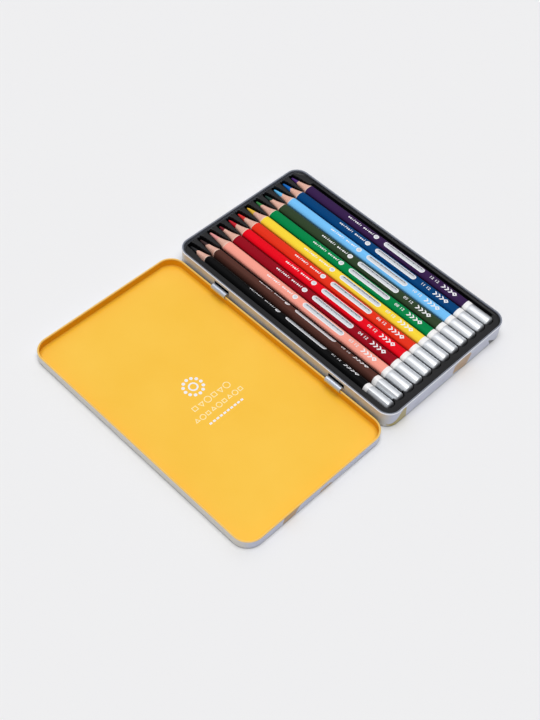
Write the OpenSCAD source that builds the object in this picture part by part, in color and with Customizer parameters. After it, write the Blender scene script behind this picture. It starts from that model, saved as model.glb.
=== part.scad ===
// Flat hinged pencil tin with a formed tray and twelve three-sided colour pencils.
// The tin stands open: the lid lies on its back behind the base.
// +X runs towards the pencil points, +Y towards the lid and +Z up. The origin is the
// middle of the base's underside. All sizes are in millimetres.

/* [Tin] */
// Length of the base over its rolled rim
base_l = 190; // [190:0.5:196]
// Width of the base over its rolled rim
base_w = 116.2; // [115.6:0.2:120]
// Height of the base
base_h = 13.6; // [13.2:0.1:13.9]
// Corner radius of the base's rim
corner_r = 9.8; // [9:0.2:11]
// Thickness of the tinplate
sheet_t = 0.35; // [0.3:0.05:0.4]
// Diameter of the base's rolled rim
base_bead_d = 1.4; // [1.2:0.1:1.5]
// Rounding of the edge between floor and wall
floor_edge_r = 0.8; // [0.6:0.1:1.2]

/* [Lid] */
// Gap between the base's rim and the lid's skirt
lid_gap = 1.6; // [1.5:0.05:1.7]
// Depth of the lid
lid_h = 7.1; // [6.9:0.05:7.2]
// Diameter of the lid's rolled edge
lid_bead_d = 1.25; // [1.1:0.05:1.3]
// Distance from the hinge axis out to the lid's rear face
axis_inset = 0.15; // [0.1:0.05:0.2]
// Height of the hinge axis above the open lid's rolled edge
axis_rise = 0.2; // [0.15:0.05:0.3]

/* [Hinges] */
// Distance of each hinge from the middle of the tin
hinge_x = 51; // [40:1:65]
// Width of a hinge clip
clip_w = 12.6; // [10:0.2:16]
// Inner radius of the clip's curl
curl_r = 1.75; // [1.7:0.05:1.8]
// Side clearance of the clip in the lid's slot
slot_side_gap = 1; // [0.5:0.25:2]
// Top of the window in the base's rear wall
window_top = 10.8; // [10:0.1:11.2]
// Lower edge of the window
window_bottom = 6.8; // [6.5:0.1:7]

/* [Tray] */
// Height of the tray's flange
flange_z = 12; // [11.6:0.1:12.4]
// Height of the troughs' floor
trough_z = 5.9; // [5.7:0.05:6]
// Width of one trough
trough_w = 8.3; // [8.2:0.05:8.4]
// Thickness of the formed sheet
tray_t = 0.8; // [0.6:0.1:1]
// Height of the ridges between the barrels
ridge_z = 9; // [7.5:0.1:9.5]
// Free strip of the well in front of the last pencil
front_strip = 2.4; // [0:0.2:2.4]
// Height of the raised border of the flange
border_h = 0.3; // [0.2:0.1:0.6]

/* [Pencils] */
// Overall length of a pencil
pencil_l = 178.5; // [176:0.5:179]
// Width of the barrel, the same across every way
barrel_w = 7.7; // [7.6:0.05:7.8]
// How far the three faces are flattened
face_flat = 0.33; // [0.2:0.01:0.36]
// Distance between neighbouring pencils
pitch = 8.75; // [8.7:0.05:8.8]
// Offset of the row of pencils from the middle of the tin
row_y = 0; // [-0.2:0.1:0.4]
// Diameter of the colour lead
lead_d = 3.1; // [2.5:0.1:3.5]
// Growth of the sharpened cone's radius per millimetre
cone_slope = 0.222; // [0.215:0.001:0.235]
// Radius of the blunt point
point_r = 0.25; // [0.15:0.05:0.4]
// Length of the dipped end
dip_l = 17.2; // [14:0.2:22]
// Length of the white band
band_l = 3.4; // [2:0.2:5]
// Roll of the two pencils that lie turned in their troughs
turned_roll = 35; // [0:5:60]

/* [Hidden] */
$fn = 64;
eps = 0.01;

// Pencils from the hinge side to the front: name, lacquer colour, roll
PENCILS = [
    ["black", [0.05, 0.05, 0.06], turned_roll],
    ["brown", [0.27, 0.14, 0.11], turned_roll],
    ["pink", [1.0, 0.62, 0.54], 0],
    ["dark_red", [0.58, 0.04, 0.11], 0],
    ["red", [0.92, 0.04, 0.10], 0],
    ["orange", [0.90, 0.20, 0.12], 0],
    ["yellow", [1.0, 0.83, 0.18], 0],
    ["green", [0.0, 0.52, 0.28], 0],
    ["dark_green", [0.18, 0.26, 0.17], 0],
    ["light_blue", [0.42, 0.73, 0.97], 0],
    ["blue", [0.0, 0.27, 0.50], 0],
    ["purple", [0.23, 0.12, 0.30], 0]
];
PIECES = ["casing", "lead", "band", "dip"];
TIN_NODES = ["base_shell", "lid_shell", "pencil_tray", "hinge_clip_left", "hinge_clip_right"];
function pencil_node(i, piece) = str(PENCILS[i][0], "_pencil_", piece);

tin_print = [0.93, 0.92, 0.90];
lid_yellow = [0.98, 0.74, 0.22];
tray_black = [0.17, 0.17, 0.19];
bare_steel = [0.80, 0.81, 0.84];
bare_wood = [0.87, 0.68, 0.58];

// Base: the wall stands a little inside the rolled rim
wall_inset = 0.35;
base_wall_l = base_l - 2 * wall_inset;
base_wall_w = base_w - 2 * wall_inset;
base_wall_r = corner_r - wall_inset;

// Lid: it lies behind the base, and its skirt's rear face passes the hinge axis
lid_l = base_l + 2 * lid_gap;
lid_w = base_w + 2 * lid_gap;
lid_r = corner_r + lid_gap;
axis_y = lid_w / 2 - axis_inset;
axis_z = lid_h + axis_rise;
lid_y = 2 * axis_y;
slot_top = lid_h - lid_bead_d;
slot_bottom = slot_top - 1.6;

// Clip: a leg on the inside of the rear wall, a bend through the window and a curl
curl_out_r = curl_r + sheet_t;
leg_y = base_wall_w / 2 - sheet_t - 0.05;
leg_bottom = 2.5;

// Tray: it drops in past the base's rim
tray_gap = 0.25;
tray_l = base_l - 2 * (base_bead_d + tray_gap);
tray_w = base_w - 2 * (base_bead_d + tray_gap);
tray_r = corner_r - base_bead_d - tray_gap;
tray_bottom = sheet_t + 0.05;
skirt_t = 1.2;
border_w = 1;

// Pencils: coats lie over a slightly reduced barrel
coat_t = 0.1;
coat_seat = 0.12;
band_proud = 0.12;
end_round_r = 1.2;
end_out_r = 4.25;
pencil_x = -87.8;
cone_l = (end_out_r + 0.2 - point_r) / cone_slope;

// Troughs: round at the dipped ends, tapered to a round pocket at the points
trough_x0 = -87.4;
trough_x1 = 75.5;
well_x0 = -85.5;
pocket_x = 90.8;
pocket_r = 1.8;

// Distance from the pencil's axis to the tangent line that faces angle a.
// Face 0 looks up, so the corners look to -90, 30 and 150 degrees.
function reach(a, grow = 0) = barrel_w / 2 + grow + face_flat * cos(3 * (a + 90));
function reach_slope(a) = -3 * face_flat * sin(3 * (a + 90));
function section_point(a, grow) = [
    reach(a, grow) * cos(a) - reach_slope(a) * sin(a),
    reach(a, grow) * sin(a) + reach_slope(a) * cos(a)
];

// Where a pencil's axis lies, so that its band rests on the trough's floor, in the middle
function roll(i) = PENCILS[i][2];
function trough_y(i) = row_y + pitch * ((len(PENCILS) - 1) / 2 - i);
function pencil_y(i) = trough_y(i) + (reach(180 - roll(i)) - reach(-roll(i))) / 2;
function pencil_z(i) = trough_z + reach(-90 - roll(i)) + band_proud + 0.02;

// A block with round vertical corners, standing on z
module slab(l, w, r, z, h) {
    translate([0, 0, z]) {
        translate([-l / 2 + r, -w / 2, 0]) cube([l - 2 * r, w, h]);
        translate([-l / 2, -w / 2 + r, 0]) cube([l, w - 2 * r, h]);
        for (sx = [-1, 1], sy = [-1, 1])
            translate([sx * (l / 2 - r), sy * (w / 2 - r), 0]) cylinder(h = h, r = r);
    }
}

// Sweeps a profile round a rectangle with round corners. In the profile, x is the
// distance out from the corner's centre and y is the height.
module around(l, w, r) {
    run_x = l / 2 - r;
    run_y = w / 2 - r;
    for (m = [0, 1]) {
        mirror([0, m, 0]) translate([0, run_y, 0]) rotate([90, 0, 90])
            linear_extrude(2 * run_x, center = true) children();
        mirror([m, 0, 0]) translate([run_x, 0, 0]) rotate([90, 0, 0])
            linear_extrude(2 * run_y, center = true) children();
    }
    for (q = [0:3]) {
        sx = q == 0 || q == 3 ? 1 : -1;
        sy = q < 2 ? 1 : -1;
        translate([sx * run_x, sy * run_y, 0]) rotate(90 * q) rotate_extrude(angle = 90) children();
    }
}

// Profile of a sheet-metal wall with a rolled rim and a round lower edge
module wall_profile(r_out, r_wall, h, bead_d, edge_r) {
    translate([r_wall - sheet_t, edge_r]) square([sheet_t, h - bead_d / 2 - edge_r]);
    translate([r_out - bead_d / 2, h - bead_d / 2]) circle(d = bead_d);
    intersection() {
        translate([r_wall - edge_r, edge_r]) difference() {
            circle(r = edge_r);
            circle(r = edge_r - sheet_t);
        }
        translate([r_wall - edge_r, 0]) square([edge_r, edge_r]);
    }
}

// An open sheet-metal box: floor, wall, round lower edge and rolled rim
module tin_box(l, w, r, inset, h, bead_d) {
    around(l, w, r) wall_profile(r, r - inset, h, bead_d, floor_edge_r);
    cut = 2 * (inset + floor_edge_r);
    slab(l - cut, w - cut, r - cut / 2, 0, sheet_t);
}

// One copy of its children at each hinge
module at_hinges() {
    for (x = [-hinge_x, hinge_x]) translate([x, 0, 0]) children();
}

module base_shell() {
    window_w = clip_w + 0.8;
    color(tin_print) difference() {
        tin_box(base_l, base_w, corner_r, wall_inset, base_h, base_bead_d);
        at_hinges() translate([-window_w / 2, base_wall_w / 2 - 1, window_bottom])
            cube([window_w, 2, window_top - window_bottom]);
    }
}

module lid_shell() {
    slot_w = clip_w + 2 * slot_side_gap;
    color(lid_yellow) difference() {
        translate([0, lid_y, 0]) tin_box(lid_l, lid_w, lid_r, 0, lid_h, lid_bead_d);
        at_hinges() translate([-slot_w / 2, lid_y - lid_w / 2 - 1, slot_bottom])
            cube([slot_w, 1 + 2 * sheet_t, slot_top - slot_bottom]);
    }
}

// A strip bent from the inside of the rear wall, through the window and over the
// lid's rolled edge, which turns inside the curl
module hinge_clip() {
    color(bare_steel) rotate([90, 0, 90]) linear_extrude(clip_w, center = true) {
        translate([leg_y - sheet_t, leg_bottom]) square([sheet_t, axis_z + sheet_t - leg_bottom]);
        translate([leg_y - sheet_t, axis_z]) square([axis_y - curl_r - leg_y + sheet_t, sheet_t]);
        translate([axis_y, axis_z]) difference() {
            circle(r = curl_out_r);
            circle(r = curl_r);
            rotate(0) translate([-3, -3]) square([3, 3]);
            rotate(30) translate([-3, -3]) square([3, 3]);
        }
    }
}

module hinge_clip_left() {
    translate([-hinge_x, 0, 0]) hinge_clip();
}

module hinge_clip_right() {
    translate([hinge_x, 0, 0]) hinge_clip();
}

// The room that one pencil needs in the tray
module trough(i) {
    length = trough_x1 - trough_x0;
    depth = flange_z - trough_z + 1;
    y = trough_y(i);
    translate([trough_x0, y - trough_w / 2, trough_z]) cube([length, trough_w, depth]);
    translate([trough_x0, y, trough_z]) cylinder(h = depth, d = trough_w);
    translate([trough_x1, pencil_y(i), pencil_z(i)]) {
        rotate([0, 90, 0]) cylinder(h = pocket_x - trough_x1, r1 = trough_w / 2, r2 = pocket_r);
        translate([pocket_x - trough_x1, 0, 0]) sphere(r = pocket_r);
    }
}

module pencil_tray() {
    last = len(PENCILS) - 1;
    well_w = trough_y(0) - trough_y(last) + trough_w + front_strip;
    inner_l = tray_l - 2 * skirt_t;
    inner_w = tray_w - 2 * skirt_t;
    edge = 2 * border_w;
    color(tray_black) difference() {
        slab(tray_l, tray_w, tray_r, tray_bottom, flange_z + border_h - tray_bottom);
        slab(tray_l - edge, tray_w - edge, tray_r - border_w, flange_z, 1);
        slab(inner_l, inner_w, tray_r - skirt_t, -1, 1 + trough_z - tray_t);
        for (i = [0:last]) trough(i);
        translate([well_x0, trough_y(last) - trough_w / 2 - front_strip, ridge_z])
            cube([trough_x1 - well_x0, well_w, 5]);
    }
}

// Puts its children, a pencil with its dipped end at x = 0, in its place and roll
module at_pencil(i) {
    translate([pencil_x, pencil_y(i), pencil_z(i)]) rotate([roll(i), 0, 0]) children();
}

// A length of the three-sided bar, grown by a coat's thickness
module bar(x0, x1, grow) {
    translate([x0, 0, 0]) rotate([90, 0, 90]) linear_extrude(x1 - x0)
        polygon([for (a = [0:10:350]) section_point(a, grow)]);
}

// A round bar along +X with a rounded near end
module rounded_end(x0, x1, r, edge_r) {
    rotate([0, 90, 0]) translate([0, 0, x0]) rotate_extrude() {
        translate([0, edge_r]) square([r, x1 - x0 - edge_r]);
        square([r - edge_r, x1 - x0]);
        translate([r - edge_r, edge_r]) circle(r = edge_r);
    }
}

// What the sharpener leaves
module sharpened() {
    rotate([0, 90, 0]) {
        cylinder(h = pencil_l - cone_l, r = end_out_r + 0.2);
        translate([0, 0, pencil_l - cone_l])
            cylinder(h = cone_l, r1 = end_out_r + 0.2, r2 = point_r);
    }
}

// The casing's solid under the coats, with no bore
module seat() {
    intersection() {
        bar(coat_t, dip_l + band_l, -coat_seat);
        rounded_end(coat_t, pencil_l, end_out_r - coat_t, end_round_r - coat_t);
    }
}

module pencil_casing(i) {
    color(PENCILS[i][1]) at_pencil(i) difference() {
        union() {
            seat();
            intersection() {
                bar(dip_l + band_l, pencil_l, 0);
                sharpened();
            }
        }
        rotate([0, 90, 0]) cylinder(h = pencil_l, d = lead_d);
    }
}

module pencil_lead(i) {
    color(PENCILS[i][1]) at_pencil(i) intersection() {
        translate([coat_t, 0, 0]) rotate([0, 90, 0]) cylinder(h = pencil_l, d = lead_d);
        sharpened();
    }
}

module pencil_band(i) {
    color("white") at_pencil(i) difference() {
        bar(dip_l, dip_l + band_l, band_proud);
        bar(dip_l - 1, dip_l + band_l + 1, -coat_seat);
    }
}

module pencil_dip(i) {
    color(bare_steel) at_pencil(i) difference() {
        intersection() {
            bar(0, dip_l, coat_t - coat_seat);
            rounded_end(0, pencil_l, end_out_r, end_round_r);
        }
        seat();
    }
}

base_shell();
lid_shell();
pencil_tray();
hinge_clip_left();
hinge_clip_right();
for (i = [0:len(PENCILS) - 1]) {
    pencil_casing(i);
    pencil_lead(i);
    pencil_band(i);
    pencil_dip(i);
}
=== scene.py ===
# Looks of an open hinged pencil tin: its tinplate shells, the formed tray and twelve
# three-sided colour pencils. Shapes are written in millimetres and built in metres.
import bpy
import bmesh
from math import atan2, cos, hypot, pi, radians, sin, sqrt
from mathutils import Matrix, Vector


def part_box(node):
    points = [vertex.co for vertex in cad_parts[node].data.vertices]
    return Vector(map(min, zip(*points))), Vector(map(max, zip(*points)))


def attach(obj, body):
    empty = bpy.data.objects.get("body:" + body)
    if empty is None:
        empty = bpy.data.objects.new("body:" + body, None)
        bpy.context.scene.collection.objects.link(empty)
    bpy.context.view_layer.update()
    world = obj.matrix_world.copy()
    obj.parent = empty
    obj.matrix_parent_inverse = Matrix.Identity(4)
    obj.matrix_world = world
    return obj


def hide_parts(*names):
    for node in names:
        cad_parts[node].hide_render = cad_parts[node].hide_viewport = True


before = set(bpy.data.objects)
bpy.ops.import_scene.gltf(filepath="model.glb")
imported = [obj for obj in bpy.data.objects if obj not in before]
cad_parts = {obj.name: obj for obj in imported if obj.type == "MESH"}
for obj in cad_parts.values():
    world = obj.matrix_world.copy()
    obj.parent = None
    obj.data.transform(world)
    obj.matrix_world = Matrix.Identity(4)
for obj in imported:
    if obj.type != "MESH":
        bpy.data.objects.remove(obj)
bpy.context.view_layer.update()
MM = 0.001

# ---------------------------------------------------------------- sizes
# Sheet metal
SHEET = 0.35
CORNER_R = 9.8
EDGE_R = 0.8
BASE_BEAD = 1.4
LID_BEAD = 1.25
WALL_INSET = 0.35
LIFT = 0.02  # how far a print stands off its ground
RIM_STEPS = 22
# FOOT_SHADE is painted shade: a dark band on the round foot where it meets the floor
FOOT_STEPS = 4  # steps of the round foot that show its shade
BEAD_START = -25  # in degrees round the bead from straight outwards
BASE_SPLIT = 62  # where the bead's outer look ends and the rim's begins
LID_SPLIT = 30
# Hinges
HINGE_X = 51
CLIP_W = 12.6
CURL_R = 1.75
SLOT_SIDE_GAP = 1
SLOT_H = 1.6
WINDOW_BOTTOM = 6.8
WINDOW_TOP = 10.8
WINDOW_SIDE_GAP = 0.4
LEG_BOTTOM = 2.5
# Tray
FLANGE_Z = 12
TROUGH_Z = 5.9
RIDGE_Z = 9
FRONT_STRIP = 2.4
TROUGH_W = 8.3
BEVEL = 0.75
CAP_BEVEL = 0.4  # the edges are sharper round the dipped ends
CAP_STEP_X = -83
POCKET_R = 2.5
END_CORNER = 3.6
END_GAP = 1.2
TIP_SIDE_GAP = 1.3  # the tray stops short of the wall beyond the points
POCKET_BACK = 0.9  # from the point back to the middle of the pocket's round end
POCKET_DROP = 0.9
POINTS_FROM = 71  # the tray's mesh is fine again from here to its end
CORNER_FIT_Y = 46  # rows of the mesh further out than this close up at the round corners
BORDER_EASE = 0.6
# Pencils
PITCH = 8.75
BARREL_R = 3.85
FACE_FLAT = 0.33
# Distance from the point and radius of the sharpened end, which is ground slightly hollow
CONE = [(0, 0.4), (0.5, 0.62), (1.5, 0.84), (3, 1.06), (6, 1.47), (8, 1.77), (10.5, 2.22), (13, 2.78),
        (15, 3.3), (16.8, 3.85)]
POINT_R = CONE[0][1]
CONE_L, BARREL_MEAN_R = CONE[-1]
DIP_L = 17.2
BAND_L = 3.4
BAND_PROUD = 0.12
DIP_PROUD = 0.12
END_ROUND = 1.9
PRIMER_START = 0.1
PRIMER_END = 0.75

# Name, lacquer colour, lead colour, bare length of the lead and roll, from the hinge side to the front
PENCILS = [
    ("black", (14, 14, 15), (30, 30, 33), 7.0, 35),
    ("brown", (86, 52, 44), (66, 44, 44), 7.2, 35),
    ("pink", (255, 164, 146), (248, 166, 162), 8.0, 0),
    ("dark_red", (150, 12, 30), (124, 24, 38), 4.6, 0),
    ("red", (236, 8, 30), (216, 28, 46), 7.8, 0),
    ("orange", (232, 52, 28), (232, 52, 48), 7.2, 0),
    ("yellow", (255, 219, 60), (246, 198, 66), 7.4, 0),
    ("green", (0, 134, 72), (60, 142, 76), 5.4, 0),
    ("dark_green", (50, 68, 44), (30, 62, 54), 6.2, 0),
    ("light_blue", (120, 197, 252), (104, 198, 252), 7.8, 0),
    ("blue", (2, 66, 120), (6, 112, 204), 8.2, 0),
    ("purple", (56, 32, 76), (86, 46, 128), 6.4, 0),
]


def span(node):
    """Lowest and highest corner of a CAD node, in millimetres."""
    low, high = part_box(node)
    return Vector(low) / MM, Vector(high) / MM


def linear(colour):
    """Turns an sRGB colour from 0 to 255 into a linear one."""
    parts = [c / 255 for c in colour]
    return tuple(c / 12.92 if c <= 0.04045 else ((c + 0.055) / 1.055) ** 2.4 for c in parts)


base_low, base_high = span("base_shell")
lid_low, lid_high = span("lid_shell")
tray_low, tray_high = span("pencil_tray")
BASE_L, BASE_W, BASE_H = base_high - base_low
LID_L, LID_W, LID_H = lid_high - lid_low
LID_Y = (lid_low.y + lid_high.y) / 2
LID_R = CORNER_R + (LID_L - BASE_L) / 2
AXIS_Y = LID_Y / 2
AXIS_Z = span("hinge_clip_left")[1].z - CURL_R - SHEET


# ---------------------------------------------------------------- materials
def new_material(name, colour, rough, **inputs):
    """A Principled material; inputs are its sockets, with _ for a space."""
    material = bpy.data.materials.new(name)
    material.use_nodes = True
    shader = material.node_tree.nodes["Principled BSDF"]
    shader.inputs["Base Color"].default_value = (*linear(colour), 1)
    shader.inputs["Roughness"].default_value = rough
    for socket, value in inputs.items():
        shader.inputs[socket.replace("_", " ")].default_value = value
    return material


def node(material, kind, **settings):
    made = material.node_tree.nodes.new(kind)
    for key, value in settings.items():
        if hasattr(made, key):
            setattr(made, key, value)
        else:
            made.inputs[key.replace("_", " ")].default_value = value
    return made


def link(material, source, target, out=0, into=0):
    material.node_tree.links.new(source.outputs[out], target.inputs[into])


def noise_map(material, per_mm, detail=3, stretch=(1, 1, 1), rough=0.5):
    """Noise over the object's own coordinates, per_mm features a millimetre."""
    place = node(material, "ShaderNodeTexCoord")
    scale = node(material, "ShaderNodeMapping", Scale=stretch)
    noise = node(material, "ShaderNodeTexNoise", Scale=per_mm / MM, Detail=detail, Roughness=rough)
    link(material, place, scale, "Object", "Vector")
    link(material, scale, noise, 0, "Vector")
    return noise


def ramp(material, stops, constant=False):
    """A colour ramp; stops are (position, sRGB colour)."""
    made = node(material, "ShaderNodeValToRGB")
    if constant:
        made.color_ramp.interpolation = "CONSTANT"
    points = made.color_ramp.elements
    while len(points) < len(stops):
        points.new(0.5)
    for point, (position, colour) in zip(points, stops):
        point.position = position
        point.color = (*linear(colour), 1)
    return made


def bump(material, height, strength, depth_mm):
    made = node(material, "ShaderNodeBump", Strength=strength, Distance=depth_mm * MM)
    link(material, height, made, 0, "Height")
    link(material, made, material.node_tree.nodes["Principled BSDF"], 0, "Normal")


def vary_rough(material, noise, low, high):
    made = node(material, "ShaderNodeMapRange", To_Min=low, To_Max=high, From_Min=0.3, From_Max=0.7)
    link(material, noise, made, 0, "Value")
    link(material, made, material.node_tree.nodes["Principled BSDF"], 0, "Roughness")


def tint(material, noise, dark, light, low=0.3, high=0.7):
    """Lets the noise run the base colour from dark to light."""
    colours = ramp(material, [(low, dark), (high, light)])
    link(material, noise, colours, 0, "Fac")
    link(material, colours, material.node_tree.nodes["Principled BSDF"], 0, "Base Color")
    return colours


CHIP_CELLS = 60  # a metre
CHIP_EDGE = 0.1


def printed_tin():
    """White tinplate print with chips of colour scattered over it, and a plain cream rear side."""
    white = (202, 206, 226)
    cream = (216, 212, 204)
    made = new_material("printed_tin", white, 0.3)
    place = node(made, "ShaderNodeTexCoord")
    turn = node(made, "ShaderNodeMapping", Rotation=(0.5, 0.3, 0.6), Location=(0, 0, 0.005))
    link(made, place, turn, "Object", "Vector")
    cells = node(made, "ShaderNodeTexVoronoi", Scale=CHIP_CELLS, Randomness=1.0)
    edges = node(made, "ShaderNodeTexVoronoi", feature="DISTANCE_TO_EDGE", Scale=CHIP_CELLS, Randomness=1.0)
    link(made, turn, cells, 0, "Vector")
    link(made, turn, edges, 0, "Vector")
    pick = node(made, "ShaderNodeSeparateColor")
    link(made, cells, pick, "Color", "Color")
    chips = ramp(made, [(0, white), (0.64, (186, 148, 104)), (0.7, (166, 108, 76)), (0.75, (118, 126, 124)),
                        (0.8, (176, 160, 92)), (0.85, (62, 92, 148)), (0.89, (124, 44, 36)),
                        (0.93, (48, 50, 56)), (0.96, white)], constant=True)
    link(made, pick, chips, "Red", "Fac")
    inside = node(made, "ShaderNodeMath", operation="GREATER_THAN")
    inside.inputs[1].default_value = CHIP_EDGE
    link(made, edges, inside, 0, 0)
    print_mix = node(made, "ShaderNodeMix", data_type="RGBA")
    print_mix.inputs["A"].default_value = (*linear(white), 1)
    made.node_tree.links.new(inside.outputs[0], print_mix.inputs["Factor"])
    made.node_tree.links.new(chips.outputs[0], print_mix.inputs["B"])
    normal = node(made, "ShaderNodeSeparateXYZ")
    link(made, place, normal, "Normal", 0)
    rear = node(made, "ShaderNodeMapRange", From_Min=0.5, From_Max=0.9)
    link(made, normal, rear, "Y", "Value")
    side_mix = node(made, "ShaderNodeMix", data_type="RGBA")
    side_mix.inputs["B"].default_value = (*linear(cream), 1)
    made.node_tree.links.new(rear.outputs["Result"], side_mix.inputs["Factor"])
    made.node_tree.links.new(print_mix.outputs["Result"], side_mix.inputs["A"])
    colour = side_mix.outputs["Result"]
    made.node_tree.links.new(colour, made.node_tree.nodes["Principled BSDF"].inputs["Base Color"])
    bump(made, noise_map(made, 0.5, 4), 0.05, 0.05)
    return made


def enamel(name, dark, light, rough):
    made = new_material(name, light, rough, Specular_IOR_Level=0.35)
    tint(made, noise_map(made, 0.02, 3), dark, light)
    bump(made, noise_map(made, 0.35, 2), 0.04, 0.05)
    return made


def bare_tinplate(name, colour, rough):
    """Rolled bare metal with fine lengthwise marks."""
    made = new_material(name, colour, rough, Metallic=0.7)
    marks = noise_map(made, 1.2, 4, stretch=(0.04, 1, 1))
    vary_rough(made, marks, rough - 0.06, rough + 0.1)
    bump(made, marks, 0.06, 0.03)
    return made


def formed_plastic():
    made = new_material("formed_plastic", (13, 13, 15), 0.3, Specular_IOR_Level=0.28)
    tint(made, noise_map(made, 0.05, 3), (11, 11, 13), (15, 15, 18))
    vary_rough(made, noise_map(made, 0.4, 5), 0.28, 0.36)
    bump(made, noise_map(made, 2.2, 2), 0.08, 0.04)
    return made


def lacquer(name, colour):
    """Lacquer over wood, with a soft sheen and a little of the grain coming through."""
    made = new_material("lacquer_" + name, colour, 0.36, Specular_IOR_Level=0.04, Sheen_Weight=0.3,
                        Sheen_Roughness=0.25)
    dark = tuple(c * 0.97 for c in colour)
    light = tuple(min(255, c * 1.02) for c in colour)
    tint(made, noise_map(made, 1.4, 3, stretch=(0.03, 1, 1)), dark, light)
    bump(made, noise_map(made, 0.8, 3, stretch=(0.08, 1, 1)), 0.05, 0.05)
    return made


def sharpened_wood():
    made = new_material("sharpened_wood", (222, 170, 150), 0.62, Specular_IOR_Level=0.3)
    tint(made, noise_map(made, 2.4, 5, stretch=(0.12, 1, 1), rough=0.65), (214, 160, 140), (238, 192, 174))
    bump(made, noise_map(made, 3.0, 4, stretch=(0.2, 1, 1)), 0.25, 0.06)
    return made


def waxy_lead(name, colour):
    made = new_material("waxy_lead_" + name, colour, 0.45, Specular_IOR_Level=0.3)
    dark = tuple(c * 0.88 for c in colour)
    tint(made, noise_map(made, 3.0, 5, stretch=(0.5, 1, 1)), dark, colour)
    bump(made, noise_map(made, 4.0, 4), 0.3, 0.06)
    return made


def silver_dip():
    """Metallic dip lacquer with flakes in the colour."""
    made = new_material("silver_dip", (219, 222, 225), 0.47, Metallic=0.95)
    tint(made, noise_map(made, 4.0, 2), (214, 217, 220), (229, 232, 235))
    bump(made, noise_map(made, 0.9, 3, stretch=(0.15, 1, 1)), 0.07, 0.05)
    return made


def ink(name, colour, rough=0.4, metallic=0.0):
    made = new_material(name, colour, rough, Metallic=metallic)
    vary_rough(made, noise_map(made, 3.0, 3), rough - 0.08, rough + 0.1)
    return made


TIN_PRINT = printed_tin()
ENAMEL_FLOOR = enamel("enamel_floor", (249, 194, 54), (252, 200, 66), 0.2)
# painted shade: the lid's inner walls get a deeper, more orange enamel than its floor
ENAMEL_WALL_PAINTED_SHADE = enamel("enamel_wall_painted_shade", (250, 176, 10), (254, 182, 14), 0.35)
# painted highlight: the lid's rim gets a paler yellow than its floor
ENAMEL_RIM_PAINTED_HIGHLIGHT = enamel("enamel_rim_painted_highlight", (244, 196, 96), (248, 202, 104), 0.3)
INNER_COAT = enamel("inner_coat", (120, 125, 136), (132, 137, 148), 0.35)
# painted light: a lighter tone of the inner coat on the base's inner wall and floor, so the wall shows
# through the shade in the gap beyond the pencil points
INNER_WALL_PAINTED_LIGHT = enamel("inner_wall_painted_light", (184, 190, 202), (192, 198, 210), 0.4)
CLIP_STEEL = bare_tinplate("clip_steel", (208, 216, 230), 0.42)
# painted highlight: the outer half of the base's bead gets a brighter white than the print
BEAD_PAINTED_HIGHLIGHT = enamel("bead_painted_highlight", (238, 240, 250), (244, 246, 254), 0.3)
# painted shade: a dark band along the round foot of both shells
FOOT_SHADE = enamel("foot_shade", (62, 64, 78), (72, 74, 88), 0.5)
PLASTIC = formed_plastic()
WOOD = sharpened_wood()
PRIMER = ink("primer_coat", (238, 208, 190), 0.5)
SILVER = silver_dip()
BAND = ink("white_band", (246, 245, 244), 0.3)
WHITE_INK = ink("white_ink", (240, 240, 242), 0.4)
FOIL = ink("foil", (206, 210, 214), 0.35, 0.35)
SHADE_INK = ink("shade_ink", (176, 181, 187), 0.4, 0.2)
DARK_INK = ink("dark_ink", (48, 52, 60), 0.45)
PALE_INK = ink("pale_ink", (255, 234, 172), 0.4)


# ---------------------------------------------------------------- mesh helpers
def face_outwards(closed):
    """Turns all the faces of a closed bmesh whose volume came out negative."""
    if closed.calc_volume(signed=True) < 0:
        bmesh.ops.reverse_faces(closed, faces=closed.faces)


def place(obj, body, slot, replaced=()):
    bpy.context.scene.collection.objects.link(obj)
    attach(obj, body)
    if replaced:
        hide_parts(*replaced)
    return obj


def piece(name, verts, faces, materials, body, slot, replaced=(), index=None, crease=35, cutters=()):
    """A closed mesh from points in millimetres, shaded smooth up to the crease angle."""
    mesh = bpy.data.meshes.new(name)
    mesh.from_pydata([Vector(v) * MM for v in verts], [], faces)
    for material in materials:
        mesh.materials.append(material)
    if index:
        mesh.polygons.foreach_set("material_index", index)
    tidy = bmesh.new()
    tidy.from_mesh(mesh)
    bmesh.ops.remove_doubles(tidy, verts=tidy.verts, dist=1e-7)
    bmesh.ops.recalc_face_normals(tidy, faces=tidy.faces)
    face_outwards(tidy)
    tidy.to_mesh(mesh)
    tidy.free()
    obj = bpy.data.objects.new(name, mesh)
    if cutters:
        cut_away(obj, cutters)
    obj.data.shade_smooth()
    obj.data.set_sharp_from_angle(angle=radians(crease))
    return place(obj, body, slot, replaced)


def block(low, high):
    """The eight corners and six faces of a block, as points and faces."""
    verts = [(x, y, z) for x in (low[0], high[0]) for y in (low[1], high[1]) for z in (low[2], high[2])]
    faces = [(0, 1, 3, 2), (4, 6, 7, 5), (0, 4, 5, 1), (2, 3, 7, 6), (0, 2, 6, 4), (1, 5, 7, 3)]
    return verts, faces


def cut_away(obj, cutters):
    """Cuts the blocks out of obj's mesh."""
    for low, high in cutters:
        verts, faces = block(low, high)
        tool_mesh = bpy.data.meshes.new("tool")
        tool_mesh.from_pydata([Vector(v) * MM for v in verts], [], faces)
        tool = bpy.data.objects.new("tool", tool_mesh)
        bpy.context.scene.collection.objects.link(tool)
        bpy.context.scene.collection.objects.link(obj)
        modifier = obj.modifiers.new("cut", "BOOLEAN")
        modifier.object = tool
        modifier.solver = "EXACT"
        bpy.context.view_layer.update()
        cut = bpy.data.meshes.new_from_object(obj.evaluated_get(bpy.context.evaluated_depsgraph_get()))
        obj.modifiers.clear()
        obj.data = cut
        bpy.context.scene.collection.objects.unlink(obj)
        bpy.data.objects.remove(tool)


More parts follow.
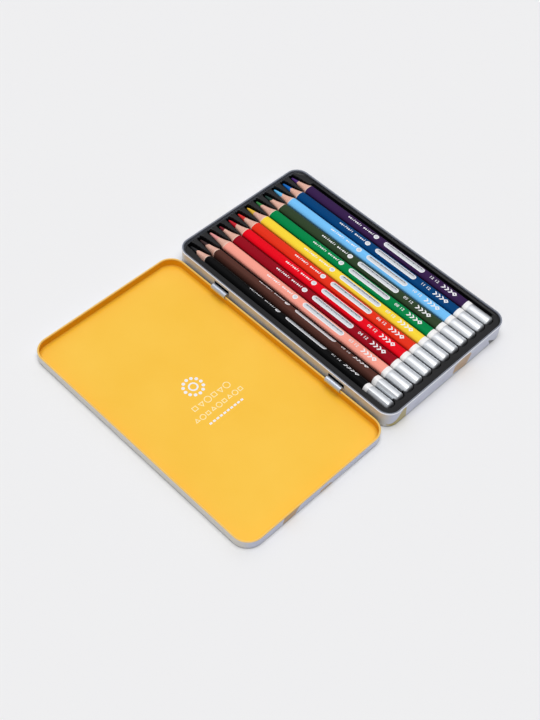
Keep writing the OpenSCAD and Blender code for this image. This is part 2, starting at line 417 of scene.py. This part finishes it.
def loft(rings):
    """Joins closed rings of equally many points, and caps the first and the last."""
    count = len(rings[0])
    verts = [v for ring in rings for v in ring]
    faces = [tuple(range(count))]
    for k in range(len(rings) - 1):
        for i in range(count):
            j = (i + 1) % count
            faces.append((k * count + i, k * count + j, (k + 1) * count + j, (k + 1) * count + i))
    last = (len(rings) - 1) * count
    faces.append(tuple(range(last, last + count)))
    return verts, faces


def round_rectangle(l, w, r, out, z, y_mid=0, steps=14):
    """A rectangle with round corners, moved outwards by out."""
    points = []
    for q, (sx, sy) in enumerate([(1, 1), (-1, 1), (-1, -1), (1, -1)]):
        for k in range(steps + 1):
            a = radians(90 * q + 90 * k / steps)
            x = sx * (l / 2 - r) + (r + out) * cos(a)
            y = sy * (w / 2 - r) + (r + out) * sin(a)
            points.append((x, y_mid + y, z))
    return points


def arc(cx, cz, r, start, end, steps):
    angles = [radians(start + (end - start) * k / steps) for k in range(steps + 1)]
    return [(cx + r * cos(a), cz + r * sin(a)) for a in angles]


# ---------------------------------------------------------------- tinplate shells
def shell_profile(inset, h, bead, split):
    """The wall's section as (out, z, kind): the kind says what the strip after it shows."""
    r = bead / 2
    outer_join = -acos_deg((r - inset) / r)
    inner_x = r - inset - SHEET
    inner_join = 360 - acos_deg(inner_x / r) if inner_x > 0 else 180 + acos_deg(-inner_x / r)
    foot = -(inset + EDGE_R)
    outer_foot = arc(foot, EDGE_R, EDGE_R, -90, 0, 6)
    steps = [(out, z, "foot" if k < FOOT_STEPS else "out") for k, (out, z) in enumerate(outer_foot)]
    rim = arc(-r, h - r, r, outer_join, inner_join, RIM_STEPS)
    for k, (out, z) in enumerate(rim):
        angle = outer_join + (inner_join - outer_join) * (k + 0.5) / RIM_STEPS
        kind = "out" if angle < min(split, BEAD_START) else "bead" if angle < split else "rim"
        steps.append((out, z, kind))
    steps[-1] = (*rim[-1], "wall")
    steps += [(out, z, "wall") for out, z in arc(foot, EDGE_R, EDGE_R - SHEET, 0, -60, 4)]
    steps += [(*arc(foot, EDGE_R, EDGE_R - SHEET, -90, -90, 1)[0], "floor")]
    return steps


def acos_deg(x):
    return atan2(sqrt(1 - x * x), x) * 180 / pi


def tin_shell(name, body, slot, l, w, r, inset, h, bead, split, y_mid, looks, cutters):
    """A drawn shell in one piece; looks gives the material of each kind of strip."""
    profile = shell_profile(inset, h, bead, split)
    rings = [round_rectangle(l, w, r, out, z, y_mid) for out, z, _ in profile]
    verts, faces = loft(rings)
    kinds = ["out", "foot", "bead", "rim", "wall", "floor"]
    index = [0]
    for _, _, kind in profile[:-1]:
        index += [kinds.index(kind)] * len(rings[0])
    index.append(kinds.index("floor"))
    piece(name, verts, faces, [looks[k] for k in kinds], body, slot, [name.replace("_dressed", "")],
          index, crease=50, cutters=cutters)


def at_hinges(half, y0, y1, z0, z1):
    """The same block at each hinge, as its lowest and highest corner."""
    return [((s * HINGE_X - half, y0, z0), (s * HINGE_X + half, y1, z1)) for s in (-1, 1)]


def build_shells():
    wall_y = BASE_W / 2 - WALL_INSET
    windows = at_hinges(CLIP_W / 2 + WINDOW_SIDE_GAP, wall_y - 1, wall_y + 1, WINDOW_BOTTOM, WINDOW_TOP)
    # the bead's brighter white is a painted highlight
    # the wall and floor get the inner coat's lighter tone, which is painted light
    looks = {"out": TIN_PRINT, "foot": FOOT_SHADE, "bead": BEAD_PAINTED_HIGHLIGHT, "rim": INNER_COAT,
             "wall": INNER_WALL_PAINTED_LIGHT, "floor": INNER_WALL_PAINTED_LIGHT}
    tin_shell("base_shell_dressed", "base", "tin_print", BASE_L, BASE_W, CORNER_R, WALL_INSET, BASE_H,
              BASE_BEAD, BASE_SPLIT, 0, looks, windows)
    slot_top = LID_H - LID_BEAD
    slots = at_hinges(CLIP_W / 2 + SLOT_SIDE_GAP, lid_low.y - 1, lid_low.y + 0.7, slot_top - SLOT_H, slot_top)
    # the rim's paler enamel is a painted highlight
    # the walls' deeper enamel is painted shade
    looks = {"out": TIN_PRINT, "foot": FOOT_SHADE, "bead": TIN_PRINT, "rim": ENAMEL_RIM_PAINTED_HIGHLIGHT,
             "wall": ENAMEL_WALL_PAINTED_SHADE, "floor": ENAMEL_FLOOR}
    tin_shell("lid_shell_dressed", "lid", "lid_enamel", LID_L, LID_W, LID_R, 0, LID_H, LID_BEAD,
              LID_SPLIT, LID_Y, looks, slots)


def build_clips():
    """Each clip is one strip: a leg inside the wall, a bend, and a curl round the lid's edge."""
    leg_y = BASE_W / 2 - WALL_INSET - 1.5 * SHEET - 0.05
    middle = CURL_R + SHEET / 2
    bend = 0.5
    entry_z = AXIS_Z + SHEET / 2
    path = [(leg_y, LEG_BOTTOM), (leg_y, entry_z - bend)]
    for a in (pi / 8, pi / 4, 3 * pi / 8):
        path.append((leg_y + bend - bend * cos(a), entry_z - bend + bend * sin(a)))
    path += [(leg_y + bend, entry_z), (AXIS_Y - middle - 0.1, entry_z)]
    curl = [radians(168 - 228 * k / 24) for k in range(25)]
    path += [(AXIS_Y + middle * cos(a), AXIS_Z + middle * sin(a)) for a in curl]
    for side, name in ((-1, "hinge_clip_left"), (1, "hinge_clip_right")):
        verts, faces = strip(path, SHEET, side * HINGE_X - CLIP_W / 2, side * HINGE_X + CLIP_W / 2)
        piece(name + "_dressed", verts, faces, [CLIP_STEEL], "base", "hinge_steel", [name], crease=30)


def strip(path, thick, x0, x1):
    """A flat strip that follows a path in the Y-Z plane, with softened long edges."""
    outline = []
    for side in (1, -1):
        line = path if side == 1 else path[::-1]
        for k, (y, z) in enumerate(line):
            before = Vector(line[max(k - 1, 0)])
            after = Vector(line[min(k + 1, len(line) - 1)])
            run = (after - before).normalized()
            outline.append((y - run.y * thick / 2, z + run.x * thick / 2))
    ease = thick * 0.3
    rings = []
    for x, shrink in ((x0, 1), (x0 + ease, 0), (x1 - ease, 0), (x1, 1)):
        ring = []
        half = len(path)
        for k, (y, z) in enumerate(outline):
            other = outline[2 * half - 1 - k]
            t = 0.3 * shrink
            ring.append((x, y + (other[0] - y) * t, z + (other[1] - z) * t))
        rings.append(ring)
    return loft(rings)


# ---------------------------------------------------------------- tray
def ease_step(t):
    t = max(0.0, min(1.0, t))
    return t * t * (3 - 2 * t)


def spaced(start, end, step):
    """Even steps from start up to, but not including, the end."""
    count = round((end - start) / step)
    return [start + (end - start) * k / count for k in range(count)]


class Trough:
    """One pencil's place in the tray."""

    def __init__(self, y_mid, axis_y, axis_z, tip_x, end_x):
        self.y_mid = y_mid
        self.axis_y = axis_y
        self.axis_z = axis_z
        self.tip_x = tip_x
        self.cap_x = end_x - END_GAP
        self.barrel_end = tip_x - CONE_L + 1
        self.pocket_x = tip_x - POCKET_BACK

    def half_width(self, x):
        """Half the pocket's width at x, past the barrel."""
        t = (x - self.barrel_end) / (self.pocket_x - self.barrel_end)
        return TROUGH_W / 2 + (POCKET_R - TROUGH_W / 2) * t

    def inside(self, x, y):
        """How far a point lies inside the trough's outline, seen from above."""
        r = TROUGH_W / 2
        if x < self.barrel_end:
            side = abs(y - self.y_mid)
            corner = hypot(max(0.0, side - r + END_CORNER), max(0.0, self.cap_x + END_CORNER - x))
            return END_CORNER - corner if corner > 0 else min(r - side, x - self.cap_x)
        if x < self.pocket_x:
            return self.half_width(x) - abs(y - self.axis_y)
        return POCKET_R - hypot(x - self.pocket_x, y - self.axis_y)

    def floor(self, x, y):
        if x < self.barrel_end:
            lift = ease_step((abs(y - self.y_mid) - 2) / 2.2)
            return TROUGH_Z + 1.2 * lift
        r = self.half_width(min(x, self.pocket_x))
        off = abs(y - self.axis_y) if x < self.pocket_x else hypot(x - self.pocket_x, y - self.axis_y)
        return self.axis_z - POCKET_DROP - sqrt(max(0.0, r * r - off * off))


def tray_height(x, y, troughs, well):
    """Height of the tray's upper surface."""
    x0, x1, y0, y1 = well
    in_well = min(x - x0, x1 - x, y - y0, y1 - y)
    top = FLANGE_Z + (RIDGE_Z - FLANGE_Z) * ease_step(in_well / BEVEL)
    near = min(troughs, key=lambda t: abs(t.y_mid - y))
    depth = near.inside(x, y)
    if depth <= 0:
        return top
    fall = ease_step(depth / (BEVEL if x > CAP_STEP_X else CAP_BEVEL))
    return top + (near.floor(x, y) - top) * fall


def build_tray(troughs):
    l = tray_high.x - tray_low.x
    w = tray_high.y - tray_low.y
    end_x = l / 2 - TIP_SIDE_GAP
    r = CORNER_R - BASE_BEAD - 0.25
    border = tray_high.z - FLANGE_Z
    well = (-85.2, troughs[0].barrel_end + 1.5, troughs[-1].y_mid - TROUGH_W / 2 - FRONT_STRIP,
            troughs[0].y_mid + TROUGH_W / 2)
    xs = spaced(-l / 2, CAP_STEP_X, 0.2) + spaced(CAP_STEP_X, POINTS_FROM, 11)
    xs += spaced(POINTS_FROM, end_x, 0.35) + [end_x]
    ys = spaced(-w / 2, w / 2, 0.3) + [w / 2]
    verts = []
    for x in xs:
        reach_x = end_x if x > 0 else l / 2
        past = abs(x) - (reach_x - r)
        limit = w / 2 if past <= 0 else w / 2 - r + sqrt(max(0.0, r * r - past * past))
        for y in ys:
            if abs(y) > CORNER_FIT_Y:
                t = (abs(y) - CORNER_FIT_Y) / (w / 2 - CORNER_FIT_Y)
                y = (CORNER_FIT_Y + t * (limit - CORNER_FIT_Y)) * (1 if y > 0 else -1)
            edge = min(reach_x - abs(x), limit - abs(y))
            rise = border * (1 - ease_step((edge - BORDER_EASE) / BORDER_EASE))
            verts.append((x, y, tray_height(x, y, troughs, well) + rise))
    columns = len(ys)
    faces = [(i * columns + j, (i + 1) * columns + j, (i + 1) * columns + j + 1, i * columns + j + 1)
             for i in range(len(xs) - 1) for j in range(columns - 1)]
    last = len(xs) - 1
    rim = [(i, 0) for i in range(last)] + [(last, j) for j in range(columns - 1)]
    rim += [(i, columns - 1) for i in range(last, 0, -1)] + [(0, j) for j in range(columns - 1, 0, -1)]
    loop = [i * columns + j for i, j in rim]
    for shift, z in ((0, tray_low.z), (1.2, tray_low.z), (1.2, TROUGH_Z - 0.8)):
        start = len(verts)
        for i, j in rim:
            x, y, _ = verts[i * columns + j]
            away = Vector((x, y)) * (1 - shift / hypot(x, y))
            verts.append((away.x, away.y, z))
        below = list(range(start, start + len(rim)))
        faces += [(loop[k], below[k], below[(k + 1) % len(rim)], loop[(k + 1) % len(rim)])
                  for k in range(len(rim))]
        loop = below
    faces.append(tuple(loop))
    piece("pencil_tray_dressed", verts, faces, [PLASTIC], "tray", "tray_plastic", ["pencil_tray"], crease=60)


# ---------------------------------------------------------------- pencils
def reach(angle, grow=0):
    """Distance of the barrel's tangent line that faces the angle from its axis."""
    return BARREL_R + grow + FACE_FLAT * cos(3 * (angle + pi / 2))


def section_point(angle, grow=0):
    slope = -3 * FACE_FLAT * sin(3 * (angle + pi / 2))
    h = reach(angle, grow)
    return h * cos(angle) - slope * sin(angle), h * sin(angle) + slope * cos(angle)


COLUMNS = [radians(5 * k) for k in range(72)]


class Pencil:
    """Places points of one pencil: u runs from its dipped end to its point."""

    def __init__(self, name, colour, lead, lead_bare, roll_deg, order):
        self.name = name
        self.body = name + "_pencil"
        self.colour = colour
        self.lead = lead
        self.lead_bare = lead_bare
        self.order = order
        low, high = span(self.body + "_lead")
        self.axis_y = (low.y + high.y) / 2
        self.axis_z = (low.z + high.z) / 2
        self.end_x = span(self.body + "_dip")[0].x
        self.tip_x = high.x
        self.length = self.tip_x - self.end_x
        self.turn = Matrix.Rotation(radians(roll_deg), 3, "X")

    def at(self, u, y, z):
        x, y, z = self.turn @ Vector((u, y, z))
        return self.end_x + x, self.axis_y + y, self.axis_z + z

    def ring(self, u, grow=0):
        return [self.at(u, *section_point(a, grow)) for a in COLUMNS]

    def dip_ring(self, u, grow, swell):
        points = []
        for a in COLUMNS:
            y, z = section_point(a, grow)
            full = (BARREL_R + DIP_PROUD + grow) / hypot(y, z)
            points.append(self.at(u, *(c * (1 + 0.7 * swell * max(0.0, full - 1)) for c in (y, z))))
        return points

    def wobble(self, a, size):
        """A small uneven shift along the pencil, its own on every pencil."""
        k = self.order
        return size * (sin(2 * a + k) + 0.6 * sin(3 * a + 2.3 * k) + 0.5 * sin(7 * a + 1.7 * k))

    def boundary(self, a):
        """Where the sharpened cone leaves the barrel's surface."""
        return self.length - CONE_L + self.wobble(a, 0.08)

    def lead_start(self, a):
        return self.length - self.lead_bare + self.wobble(a, 0.45)

    def cone_point(self, u, a):
        """The cone is round at the point and takes on the barrel's section towards its foot."""
        back = min(self.length - u, CONE_L)
        r = cone_radius(back)
        y, z = section_point(a)
        turn = atan2(z, y)
        t = ease_step((back - 9) / (CONE_L - 9))
        y = (1 - t) * r * cos(turn) + t * y * r / BARREL_MEAN_R
        z = (1 - t) * r * sin(turn) + t * z * r / BARREL_MEAN_R
        return self.at(u, y, z)


def cone_radius(back):
    for (d0, r0), (d1, r1) in zip(CONE, CONE[1:]):
        if back <= d1:
            return r0 + (r1 - r0) * (back - d0) / (d1 - d0)
    return BARREL_MEAN_R


def build_casing(p):
    start = DIP_L + BAND_L - 0.5
    rings = [p.ring(start), p.ring(start + 60), p.ring(start + 120)]
    edge = [p.boundary(a) for a in COLUMNS]
    for back in (1.5, 0.15):
        rings.append([p.at(u - back, *section_point(a)) for u, a in zip(edge, COLUMNS)])
    kinds = [0] * len(rings)
    for shift, kind in ((PRIMER_START, 1), (PRIMER_END, 2)):
        rings.append([p.cone_point(u + shift, a) for u, a in zip(edge, COLUMNS)])
        kinds.append(kind)
    for t in (0.2, 0.4, 0.6, 0.8):
        rings.append([p.cone_point(u + PRIMER_END + (p.lead_start(a) - u - PRIMER_END) * t, a)
                      for u, a in zip(edge, COLUMNS)])
        kinds.append(2)
    rings.append([p.cone_point(p.lead_start(a), a) for a in COLUMNS])
    verts, faces = loft(rings)
    index = [0] + [k for k in kinds for _ in COLUMNS] + [2]
    looks = [lacquer(p.name, p.colour), PRIMER, WOOD]
    piece(p.body + "_casing_dressed", verts, faces, looks, p.body, "lacquer_" + p.name,
          [p.body + "_casing"], index, crease=25)


def build_lead(p):
    rings = [[p.cone_point(p.lead_start(a) - 0.02, a) for a in COLUMNS]]
    for back in (3, 1.5, 0.5):
        rings.append([p.cone_point(p.length - back, a) for a in COLUMNS])
    for back, share in ((0.16, 0.95), (0.04, 0.7), (0.0, 0.35)):
        r = POINT_R * share
        rings.append([p.at(p.length - back, r * cos(a), r * sin(a)) for a in COLUMNS])
    verts, faces = loft(rings)
    piece(p.body + "_lead_dressed", verts, faces, [waxy_lead(p.name, p.lead)], p.body, "lead_" + p.name,
          [p.body + "_lead"], crease=40)


def build_band(p):
    a, b = DIP_L, DIP_L + BAND_L
    section = [(a, -0.3), (a, 0.04), (a + 0.1, BAND_PROUD), (b - 0.1, BAND_PROUD), (b, 0.04), (b, -0.3)]
    verts, faces = loft([p.ring(u, grow) for u, grow in section])
    piece(p.body + "_band_dressed", verts, faces, [BAND], p.body, "band_white", [p.body + "_band"], crease=50)


def build_dip(p):
    """The dip swells the barrel's faces a little, so it looks rounder than the lacquered part."""
    rings = []
    for k in range(7):
        a = radians(90 - 15 * k)
        rings.append(p.dip_ring(END_ROUND * (1 - sin(a)), -END_ROUND * (1 - cos(a)) * 0.95, 1))
    rings += [p.dip_ring(DIP_L * 0.5, 0, 1), p.dip_ring(DIP_L - 2, 0, 1), p.dip_ring(DIP_L - 0.8, 0, 0.6),
              p.dip_ring(DIP_L, 0, 0)]
    verts, faces = loft(rings)
    piece(p.body + "_dip_dressed", verts, faces, [SILVER], p.body, "dip_silver", [p.body + "_dip"], crease=50)


# ---------------------------------------------------------------- prints
def capsule(length, width, steps=10):
    """A bar with round ends, from 0 to length along p."""
    r = width / 2
    points = [(length - r + r * cos(a), r * sin(a)) for a in half_turn(-90, steps)]
    return points + [(r + r * cos(a), r * sin(a)) for a in half_turn(90, steps)]


def half_turn(start, steps):
    return [radians(start + 180 * k / steps) for k in range(steps + 1)]


def bar(p0, p1, q0, q1):
    return [(p0, q0), (p1, q0), (p1, q1), (p0, q1)]


def circle(cp, cq, r, steps=20):
    return [(cp + r * cos(2 * pi * k / steps), cq + r * sin(2 * pi * k / steps)) for k in range(steps)]


SMALL_PITCH = 1.55


def small_marks():
    """A line of small dots, lozenges and short and long strokes, as flat bmeshes, from 0 along p."""
    made = []
    for k, kind in enumerate("olsdolds loslod"):
        p = SMALL_PITCH * k
        if kind == "o":
            made.append(shape(circle(p + 0.62, 0, 0.62, 10)))
        elif kind == "l":
            made.append(shape(polygon(p + 0.62, 0, 0.85, 4)))
        elif kind == "s":
            made.append(shape([(p + 0.2, -0.66), (p + 0.68, -0.66), (p + 0.95, 0.66), (p + 0.47, 0.66)]))
        elif kind == "d":
            made.append(shape([(p + 0.1, -0.66), (p + 0.6, -0.66), (p + 1.1, 1.15), (p + 0.6, 1.15)]))
    return made


def chevron(p, height, reach, thick):
    """An arrowhead stroke that points along p."""
    h = height / 2
    return [(p, -h), (p + thick, -h), (p + thick + reach, 0), (p + thick, h), (p, h), (p + reach, 0)]


def numeral(text, height):
    """Outline faces of a plain number, as a bmesh in millimetres."""
    curve = bpy.data.curves.new("numeral", "FONT")
    curve.body = text
    curve.size = height
    curve.space_character = 1.1
    curve.offset = 0.02 * height
    obj = bpy.data.objects.new("numeral", curve)
    made = bmesh.new()
    made.from_mesh(obj.to_mesh())
    bpy.data.objects.remove(obj)
    bmesh.ops.remove_doubles(made, verts=made.verts, dist=0.01)
    return made


def shape(points):
    """One flat face as a bmesh."""
    made = bmesh.new()
    made.faces.new([made.verts.new((p, q, 0)) for p, q in points])
    return made


def solid_print(flat, cuts, put, lift, sink):
    """Cuts a flat bmesh along lines of constant q, gives it thickness and bends it into place."""
    for q in cuts:
        geometry = flat.verts[:] + flat.edges[:] + flat.faces[:]
        bmesh.ops.bisect_plane(flat, geom=geometry, plane_co=(0, q, 0), plane_no=(0, 1, 0), dist=1e-6)
    bmesh.ops.triangulate(flat, faces=[f for f in flat.faces if len(f.verts) > 4])
    top = flat.faces[:]
    grown = bmesh.ops.extrude_face_region(flat, geom=top)
    for vert in [g for g in grown["geom"] if isinstance(g, bmesh.types.BMVert)]:
        vert.co.z = -1
    bmesh.ops.recalc_face_normals(flat, faces=flat.faces)
    for vert in flat.verts:
        vert.co = Vector(put(vert.co.x, vert.co.y, lift if vert.co.z > -0.5 else -sink)) * MM
    face_outwards(flat)
    return flat


def join_prints(name, parts, body, slot):
    """Joins (bmesh, material) pairs into one piece."""
    joined = bmesh.new()
    materials = []
    for part, material in parts:
        if material not in materials:
            materials.append(material)
        for face in part.faces:
            face.material_index = materials.index(material)
        mesh = bpy.data.meshes.new("part")
        part.to_mesh(mesh)
        part.free()
        joined.from_mesh(mesh)
        bpy.data.meshes.remove(mesh)
    mesh = bpy.data.meshes.new(name)
    joined.to_mesh(mesh)
    joined.free()
    for material in materials:
        mesh.materials.append(material)
    return place(bpy.data.objects.new(name, mesh), body, slot)


def face_angle(s):
    """The section angle at which the arc length from the middle of the top face is s."""
    a = s / (BARREL_R + 8 * FACE_FLAT)
    for _ in range(6):
        run = BARREL_R * a + 8 * FACE_FLAT / 3 * sin(3 * a) - s
        a -= run / (BARREL_R + 8 * FACE_FLAT * cos(3 * a))
    return pi / 2 + a


# Where each print starts, as a distance from the dipped end, and its size
SMALL_MARKS_U = 124.3
MARK_U = 100.6
MARK_R = 1.9
MARK_FOIL_R = 1.2
PILL_U = 91.3
PILL_L = 35.1
PILL_W = 4.1
PILL_EDGE = 0.55
PILL_BARS = 27
PILL_BAR_PITCH = 1.12
NUMBER_U = 51.2
NUMBER_H = 3.1
EMBLEM_U = 40.6


def build_pencil_print(p):
    cuts = [0.4 * k for k in range(-5, 6)]

    def bend_from(u):
        return lambda along, across, grow: p.at(u - along, *section_point(face_angle(across), grow))

    def add(flat, u, material, lift=LIFT, sink=0.03):
        parts.append((solid_print(flat, cuts, bend_from(u), lift, sink), material))

    parts = []
    for flat in small_marks():
        add(flat, SMALL_MARKS_U, WHITE_INK)
    add(shape(circle(MARK_R, 0, MARK_R)), MARK_U, WHITE_INK)
    add(shape(circle(MARK_R, 0, MARK_FOIL_R)), MARK_U, FOIL, LIFT + 0.015, 0)
    add(shape(capsule(PILL_L, PILL_W)), PILL_U, WHITE_INK)
    inner = capsule(PILL_L - 2 * PILL_EDGE, PILL_W - 2 * PILL_EDGE)
    add(shape(inner), PILL_U - PILL_EDGE, FOIL, LIFT + 0.015, 0)
    add(shape(bar(1.5, PILL_L - 1.7, 0.15, 1.45)), PILL_U, SHADE_INK, LIFT + 0.025, 0)
    for k in range(PILL_BARS):
        tall = 1.2 if k % 4 == 0 else 0.75
        x = 2.6 + k * PILL_BAR_PITCH
        add(shape(bar(x, x + (0.5, 0.35, 0.65)[k % 3], 1.3 - tall, 1.3)), PILL_U, DARK_INK, LIFT + 0.04, 0)
    digits = numeral("%02d 12" % (p.order + 1), NUMBER_H)
    bmesh.ops.translate(digits, verts=digits.verts, vec=(0, -1.05, 0))
    add(digits, NUMBER_U, WHITE_INK)
    for k in range(3):
        add(shape(chevron(2.9 * k, 3.4, 1.7, 1.25)), EMBLEM_U, WHITE_INK)
    add(ring_face(polygon(10.5, 0, 1.9, 4), polygon(10.5, 0, 0.7, 4)), EMBLEM_U, WHITE_INK)
    join_prints(p.body + "_print", parts, p.body, "band_white")


def ring_face(outer, inner):
    """A flat band between two outlines of equally many points."""
    made = bmesh.new()
    count = len(outer)
    a = [made.verts.new((p, q, 0)) for p, q in outer]
    b = [made.verts.new((p, q, 0)) for p, q in inner]
    for k in range(count):
        j = (k + 1) % count
        made.faces.new((a[k], a[j], b[j], b[k]))
    return made


def polygon(cp, cq, r, sides, turn=0):
    angles = [2 * pi * k / sides + turn for k in range(sides)]
    return [(cp + r * cos(a), cq + r * sin(a)) for a in angles]


# The mark printed inside the lid
STROKE = 0.55
ROUND = 32  # sides of an outline that reads as a circle
DOT_RING = (9.8, 121)
DOT_RING_R = 6.4
DOT_R = 1.15


def build_lid_emblem():
    """A ring of twelve dots round a small ring, over two rows of outlines and one of dashes."""
    parts = []

    def put(x, y, z):
        return x, y, SHEET + z

    def add(flat, material):
        parts.append((solid_print(flat, [], put, LIFT, 0.05), material))

    def outline(x, y, r, corners, turn):
        inner = r - STROKE if corners == ROUND else r - STROKE / cos(pi / corners)
        return ring_face(polygon(x, y, r, corners, turn), polygon(x, y, inner, corners, turn))

    for x, y in polygon(*DOT_RING, DOT_RING_R, 12):
        add(shape(circle(x, y, DOT_R)), WHITE_INK)
    add(ring_face(circle(*DOT_RING, 3.3, ROUND), circle(*DOT_RING, 2.2, ROUND)), WHITE_INK)
    for x, start, pitch, count, r, forms in (
            (-3.2, 105, 5.3, 6, 2.5, ((ROUND, 0), (3, pi), (4, pi / 4))),
            (-10.9, 100.6, 4.5, 9, 2.1, ((4, pi / 4), (ROUND, 0), (3, 0)))):
        for k in range(count):
            add(outline(x, start + pitch * k, r, *forms[k % 3]), PALE_INK)
    for k in range(10):
        y = 104.8 + 2.9 * k
        add(shape(bar(-18.3, -16.9, y, y + 1.9)), WHITE_INK)
    join_prints("lid_emblem", parts, "lid", "lid_enamel")


# ---------------------------------------------------------------- stage
CAMERA_AZIMUTH = 220.55
CAMERA_ELEVATION = 52.41
CAMERA_ROLL = 5.5
CAMERA_DISTANCE = 762.6
CAMERA_TARGET = (-7.5, 71.03, 0)
FOCAL_PIXELS = 1207.4
IMAGE_H = 720
SENSOR = 36
FLOOR_HALF = 30  # in metres
FLOOR_DROP = 0.0001  # in metres, so that the tin's underside stays clear of it


def place_camera():
    azimuth, elevation, roll = (radians(v) for v in (CAMERA_AZIMUTH, CAMERA_ELEVATION, CAMERA_ROLL))
    back = Vector((sin(azimuth) * cos(elevation), -cos(azimuth) * cos(elevation), sin(elevation)))
    level = Vector((cos(azimuth), sin(azimuth), 0))
    rise = back.cross(level)
    right = cos(roll) * level + sin(roll) * rise
    up = -sin(roll) * level + cos(roll) * rise
    data = bpy.data.cameras.new("camera")
    data.sensor_fit = "AUTO"
    data.sensor_width = SENSOR
    data.lens = FOCAL_PIXELS / IMAGE_H * SENSOR
    data.clip_start = 0.01
    camera = bpy.data.objects.new("camera", data)
    pose = Matrix((right, up, back)).transposed().to_4x4()
    pose.translation = (Vector(CAMERA_TARGET) + back * CAMERA_DISTANCE) * MM
    camera.matrix_world = pose
    bpy.context.scene.collection.objects.link(camera)
    bpy.context.scene.camera = camera


def place_floor():
    made = new_material("studio_floor", (239, 239, 239), 0.9, Specular_IOR_Level=0.0)
    mesh = bpy.data.meshes.new("studio_floor")
    corners = [(-1, -1), (1, -1), (1, 1), (-1, 1)]
    mesh.from_pydata([(x * FLOOR_HALF, y * FLOOR_HALF, -FLOOR_DROP) for x, y in corners], [], [(0, 1, 2, 3)])
    mesh.materials.append(made)
    floor = bpy.data.objects.new("studio_floor", mesh)
    bpy.context.scene.collection.objects.link(floor)


# A soft box behind and above the tin as seen from the camera, the room's paler wall on the
# lid's side, and the lamp overhead. A level's position is (1 + cosine) / 2 of the angle to it.
BACK_BOX = (0.4, -0.52, 0.76)
BACK_LEVELS = [(0.0, 0.07), (0.5, 0.12), (0.7, 0.16), (0.85, 0.26), (0.93, 0.58), (0.975, 0.92)]
SIDE_WALL = (-0.05, 0.95, 0.3)
SIDE_LEVELS = [(0.75, 0.0), (1.0, 0.46)]
KEY_FROM = (-0.07, 0.03, 1)
KEY_SPREAD = 42  # in degrees
KEY_ENERGY = 1.84


def wall_light(tree, direction, levels):
    """Grey levels of the room by how directly a ray heads for one wall."""
    coords = tree.nodes.new("ShaderNodeTexCoord")
    facing = tree.nodes.new("ShaderNodeVectorMath")
    facing.operation = "DOT_PRODUCT"
    facing.inputs[1].default_value = Vector(direction).normalized()
    share = tree.nodes.new("ShaderNodeMapRange")
    share.inputs["From Min"].default_value = -1
    colours = tree.nodes.new("ShaderNodeValToRGB")
    while len(colours.color_ramp.elements) < len(levels):
        colours.color_ramp.elements.new(0.5)
    for point, (position, level) in zip(colours.color_ramp.elements, levels):
        point.position = position
        point.color = (level, level, level * 1.03, 1)
    tree.links.new(coords.outputs["Generated"], facing.inputs[0])
    tree.links.new(facing.outputs["Value"], share.inputs["Value"])
    tree.links.new(share.outputs["Result"], colours.inputs["Fac"])
    return colours.outputs["Color"]


def light_stage():
    """A dim room with a soft box behind the tin and one paler wall, and a broad lamp overhead."""
    world = bpy.data.worlds.new("studio")
    world.use_nodes = True
    bpy.context.scene.world = world
    tree = world.node_tree
    both = tree.nodes.new("ShaderNodeVectorMath")
    tree.links.new(wall_light(tree, BACK_BOX, BACK_LEVELS), both.inputs[0])
    tree.links.new(wall_light(tree, SIDE_WALL, SIDE_LEVELS), both.inputs[1])
    tree.links.new(both.outputs["Vector"], tree.nodes["Background"].inputs["Color"])
    lamp = bpy.data.lights.new("key", "SUN")
    lamp.angle = radians(KEY_SPREAD)
    lamp.energy = KEY_ENERGY
    key = bpy.data.objects.new("key", lamp)
    key.rotation_euler = Vector(KEY_FROM).to_track_quat("Z", "Y").to_euler()
    bpy.context.scene.collection.objects.link(key)


# ---------------------------------------------------------------- build
place_camera()
place_floor()
light_stage()
build_shells()
build_clips()
pencils = [Pencil(*values, order) for order, values in enumerate(PENCILS)]
row_middle = (len(pencils) - 1) / 2
build_tray([Trough(PITCH * (row_middle - p.order), p.axis_y, p.axis_z, p.tip_x, p.end_x) for p in pencils])
for pencil in pencils:
    build_casing(pencil)
    build_lead(pencil)
    build_band(pencil)
    build_dip(pencil)
    build_pencil_print(pencil)
build_lid_emblem()

bpy.context.scene.view_settings.view_transform = "Standard"
